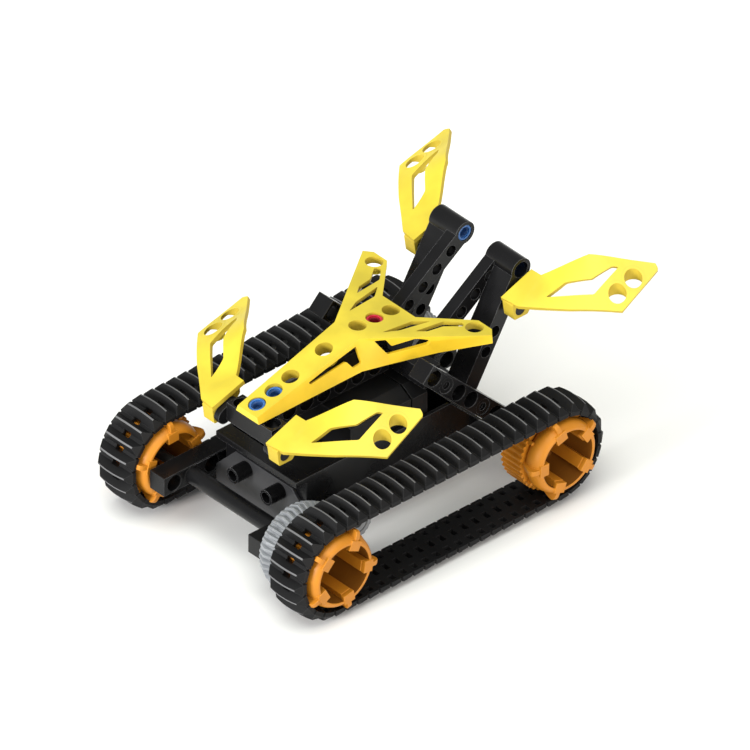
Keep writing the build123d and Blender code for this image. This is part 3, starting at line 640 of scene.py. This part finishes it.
def make_wing(name, sign, shift):
    tip_low, tip_high = Vector((59.4, 54.4, 53.8)), Vector((56.6, 55.4, 55.5))
    crown = Vector((36.0, 35.0, 59.0))
    foot_rear, foot_in_rear = Vector((22.9, 18.7, 48.5)), Vector((17.2, 18.1, 48.9))
    foot_in_front, foot_front = Vector((17.6, 0.0, 42.6)), Vector((26.8, 1.8, 41.7))
    heel = Vector((62.2, 31.3, 44.0))
    normal = Vector((0.465, -0.299, 0.834)).normalized()
    across = Vector((1, 0, 0)) - normal * normal.x
    across.normalize()
    along = normal.cross(across)

    def flat(point):
        offset = Vector(point) - heel
        return (offset.dot(across), offset.dot(along))

    def fall(point):
        return (Vector(point) - heel).dot(normal)

    tip = Vector((58.8, 55.2, 54.2))
    rounded = []
    for n in range(6):
        t = n / 5
        rounded.append(tip_low * (1 - t) ** 2 + tip * 2 * t * (1 - t) + tip_high * t ** 2)
    low_middle = (foot_front + heel) / 2 + Vector((0.5, -1.0, 0.4))
    corners = [foot_front, low_middle, heel, *rounded, crown, foot_rear]
    loop = split_loop([flat(point) for point in corners], 2.5, True)
    known = [flat(point) for point in (foot_front, foot_rear, heel, tip, crown)]
    values = [fall(point) for point in (foot_front, foot_rear, heel, tip, crown)]
    crease = (foot_front + foot_rear) / 2
    known.append(flat(crease))
    values.append(fall(crease))
    for one, two in ((heel, tip), (tip, crown), (heel, crown)):
        point = (one + two) / 2
        known.append(flat(point))
        values.append(fall(point))
    known.append(flat(low_middle))
    values.append(fall(low_middle))
    height = thin_plate(known, values)
    slot = round_flat([flat(p) for p in ((36.2, 10.5, 51), (37.5, 20.5, 53.9), (44.2, 29.4, 53.3),
                                         (46.3, 39.6, 55.8), (48.1, 41.6, 55.5), (49.4, 26.2, 49.3))], 0.8)
    slot = split_loop(slot, 2.5)

    def drop(x, y):
        """The point of the blade's top right below or above x, y."""
        point = Vector((x, y, 50.0))
        for _ in range(6):
            rise = float(height([flat(point)])[0]) - fall(point)
            point.z += rise / normal.z
        return point

    bores = [(55.2, 43.8), (55.5, 34.3)]
    holes = [slot] + [[flat(drop(x, y)) for x, y in circle(*bore, 4.9, 36)] for bore in bores]
    border = np.array(sum([list(each) for each in [loop, *holes]], []))
    low, high = border.min(0), border.max(0)
    extra = []
    step = 2.0
    for n, u in enumerate(np.arange(low[0], high[0], step)):
        for v in np.arange(low[1] + (n % 2) * step / 2, high[1], step):
            if np.min(((border - (u, v)) ** 2).sum(1)) > 1.0 and inside((u, v), loop):
                extra.append((u, v))
    spots, faces, _ = skin(loop, holes, extra)
    lift = height([p[:] for p in spots])
    bm = bmesh.new()

    def put(point):
        return (sign * (point.x + shift[0]), point.y + shift[1], point.z + shift[2])

    verts = [bm.verts.new(put(heel + across * p.x + along * p.y + normal * w)) for p, w in zip(spots, lift)]
    for face in faces:
        bm.faces.new([verts[k] for k in face])
    loose = [v for v in bm.verts if not v.link_faces]
    bmesh.ops.delete(bm, geom=loose, context="VERTS")
    bm.faces.new([bm.verts.new(put(p)) for p in (foot_rear, foot_in_rear, foot_in_front, foot_front)])
    bmesh.ops.remove_doubles(bm, verts=bm.verts, dist=0.05)
    bmesh.ops.recalc_face_normals(bm, faces=bm.faces)
    if sum(face.normal.z for face in bm.faces) < 0:
        bmesh.ops.reverse_faces(bm, faces=bm.faces)
    mesh = bpy.data.meshes.new(f"{name}_blade")
    bm.to_mesh(mesh)
    bm.free()
    mesh.transform(TO_ROW)
    mesh.materials.append(YELLOW)
    mesh.materials.append(YELLOW_WALL_SHADE)
    mesh.shade_smooth()
    mesh.set_sharp_from_angle(angle=math.radians(16))
    blade = bpy.data.objects.new(f"{name}_blade", mesh)
    bpy.context.scene.collection.objects.link(blade)
    thick = blade.modifiers.new("thickness", "SOLIDIFY")
    thick.thickness = 2.0 * MM
    thick.offset = -1
    thick.use_even_offset = True
    # The blade's rim gets the darker yellow painted as shade.
    thick.material_offset_rim = 1
    add_bevel(blade, 0.25, 2, 30)
    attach(blade, NODE_BODY[name])
    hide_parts(name)
    bm = bmesh.new()
    for bore in bores:
        bottom = drop(*bore).z - 3.3
        rings = []
        for radius, at_top in ((4.0, True), (4.0, False), (5.2, False), (5.2, True)):
            ring = []
            for x, y in circle(*bore, radius, 36):
                top = drop(x, y).z + 0.05
                ring.append(bm.verts.new(put(Vector((x, y, top if at_top else min(bottom, top - 0.5))))))
            rings.append(ring)
        # The bore's inner wall takes the darker yellow painted as shade.
        for n, finish in enumerate((1, 0, 0, 0)):
            one, two = rings[n], rings[(n + 1) % 4]
            for k in range(36):
                after = (k + 1) % 36
                bm.faces.new((one[k], one[after], two[after], two[k])).material_index = finish
    box = [(0.5, 41.3), (1.7, 33.1), (9.3, 33.1), (16.7, 42.7), (16.7, 45.2)]
    outline = round_flat([(y + shift[1], z + shift[2]) for y, z in box], 0.6)
    pivot = (FRONT_PIVOT[0] + shift[1], FRONT_PIVOT[1] + shift[2])
    # The foot box under the blade is all darker yellow, painted shade.
    prism(bm, outline, side(18.0 + shift[0], sign), 0.0, 6.6, [circle(*pivot, 2.95, 32)], 1, 1)
    piece(f"{name}_foot", bm, [name], [YELLOW, YELLOW_WALL_SHADE], smooth=35, weld=False)


def round_flat(points, radius, steps=3):
    return [tuple(p[:2]) for p in round_corners([(u, v, 0) for u, v in points], radius, steps)]


# ---------------------------------------------------------------- pegs

def add_peg(bm, place, sunk, length):
    """Add a peg whose end is a raised ring round a dished recess; the recess is painted darker as shade."""
    recess = [(sunk + 3.0, 0.02), (sunk + 3.0, 1.5), (sunk + 1.2, 2.1)]
    body = [(sunk + 1.0, 2.7), (sunk + 0.1, 2.85), (sunk, 3.15), (sunk, 3.5), (sunk + 0.3, 3.8),
            (sunk + length, 3.8), (sunk + length, 0.02)]
    lathe(bm, recess + body, place, 40, materials=[1] * len(recess) + [0] * (len(body) - 1))


def make_pegs():
    bm = bmesh.new()
    for y, sunk in ((10.5, 0.3), (20.2, 1.6)):
        add_peg(bm, hole_on_panel(0, y, 4.0)[0], sunk, 6.0)
    for _, sign in SIDES:
        add_peg(bm, side(9.6, sign, *ARM_HEAD), 0.2, 11.0)
    piece("blue_peg_set", bm, ["blue_pegs"], [BLUE, BLUE_SHADE], smooth=40)
    bm = bmesh.new()
    add_peg(bm, hole_on_panel(0, 79.0, 4.0)[0], 0.8, 6.0)
    piece("red_peg_body", bm, ["red_peg"], [RED, RED_SHADE], smooth=40)


# ---------------------------------------------------------------- build

for side_word, sign in SIDES:
    make_track(f"track_{side_word}", sign)
    make_wing(f"front_wing_{side_word}", sign, (0, 0, 0))
    make_wing(f"rear_wing_{side_word}", sign, REAR_SHIFT)
make_sprocket("sprocket_front_right", 0, 0, 64)
make_sprocket("sprocket_rear_right", 0, WHEELBASE, 34)
make_sprocket("sprocket_front_left", SPROCKET_SHIFT_LEFT, 0, 20)
make_sprocket("sprocket_rear_left", SPROCKET_SHIFT_LEFT, WHEELBASE, 34)
make_gear("drive_gear_right", 1, 33.9, 0, 40, 0)
make_gear("drive_gear_left", -1, 31.3, WHEELBASE, 40, 0)
make_gear("motor_pinion_right", 1, 33.9, 30, 20, 9)
make_gear("motor_pinion_left", -1, 31.3, 100, 20, 9)
make_panel()
make_pegs()

replaced = {"top_panel", "blue_pegs", "red_peg"}
for side_word, sign in SIDES:
    replaced |= {f"track_{side_word}", f"front_wing_{side_word}", f"rear_wing_{side_word}",
                 f"sprocket_front_{side_word}", f"sprocket_rear_{side_word}",
                 f"drive_gear_{side_word}", f"motor_pinion_{side_word}"}
SPECIAL = {"sensor_plate": GREY_FACE, "motor_right": INNER_BLACK, "motor_left": INNER_BLACK,
           "controller_box": INNER_BLACK}
for name, thing in nodes.items():
    if name in replaced:
        continue
    thing.data.materials.clear()
    thing.data.materials.append(SPECIAL.get(name, SLOT_MATERIAL[NODE_SLOT[name]]))
    join = thing.modifiers.new("join", "WELD")
    join.merge_threshold = 1e-6
    add_bevel(thing, 0.3, 2, 30)


# ---------------------------------------------------------------- floor, light, camera

bm = bmesh.new()
reach = 3.0
for x, y in ((-reach, -reach), (reach, -reach), (reach, reach), (-reach, reach)):
    bm.verts.new((x, y, 0))
bm.verts.ensure_lookup_table()
bm.faces.new(bm.verts[:])
floor_mesh = bpy.data.meshes.new("floor")
bm.to_mesh(floor_mesh)
bm.free()
floor = bpy.data.objects.new("floor", floor_mesh)
bpy.context.scene.collection.objects.link(floor)
floor_look = bpy.data.materials.new("floor_paint")
floor_look.use_nodes = True
floor_look.node_tree.nodes["Principled BSDF"].inputs["Base Color"].default_value = (0.93, 0.93, 0.93, 1)
floor_look.node_tree.nodes["Principled BSDF"].inputs["Roughness"].default_value = 0.9
floor_look.node_tree.nodes["Principled BSDF"].inputs["Specular IOR Level"].default_value = 0.1
floor_mesh.materials.append(floor_look)

world = bpy.data.worlds.new("studio")
bpy.context.scene.world = world
world.use_nodes = True
world.node_tree.nodes["Background"].inputs["Color"].default_value = (1, 1, 1, 1)
world.node_tree.nodes["Background"].inputs["Strength"].default_value = 0.5


def add_sun(name, direction, strength, softness, color=(1, 1, 1)):
    data = bpy.data.lights.new(name, "SUN")
    data.color = color
    data.energy = strength
    data.angle = math.radians(softness)
    lamp = bpy.data.objects.new(name, data)
    lamp.rotation_euler = Vector(direction).to_track_quat("-Z", "Y").to_euler()
    bpy.context.scene.collection.objects.link(lamp)


add_sun("front_light", (0.06, 1.0, -0.24), 3.4, 20)
add_sun("top_light", (-0.15, 0.25, -1.0), 1.9, 50, (0.97, 1.0, 0.93))
add_sun("side_light", (-1.0, 0.15, -0.25), 1.5, 30, (1.0, 0.93, 0.84))

camera_data = bpy.data.cameras.new("photo_camera")
camera_data.type = "ORTHO"
camera_data.ortho_scale = 0.3267
camera_data.clip_end = 10
camera = bpy.data.objects.new("photo_camera", camera_data)
back = Vector((0.609, -0.5405, 0.5807)).normalized()
centre = Vector((0.0, 0.000415, 0.05785))
camera.location = centre + back * 1.5
camera.rotation_euler = (-back).to_track_quat("-Z", "Y").to_euler()
bpy.context.scene.collection.objects.link(camera)
bpy.context.scene.camera = camera
bpy.context.scene.view_settings.view_transform = "Standard"
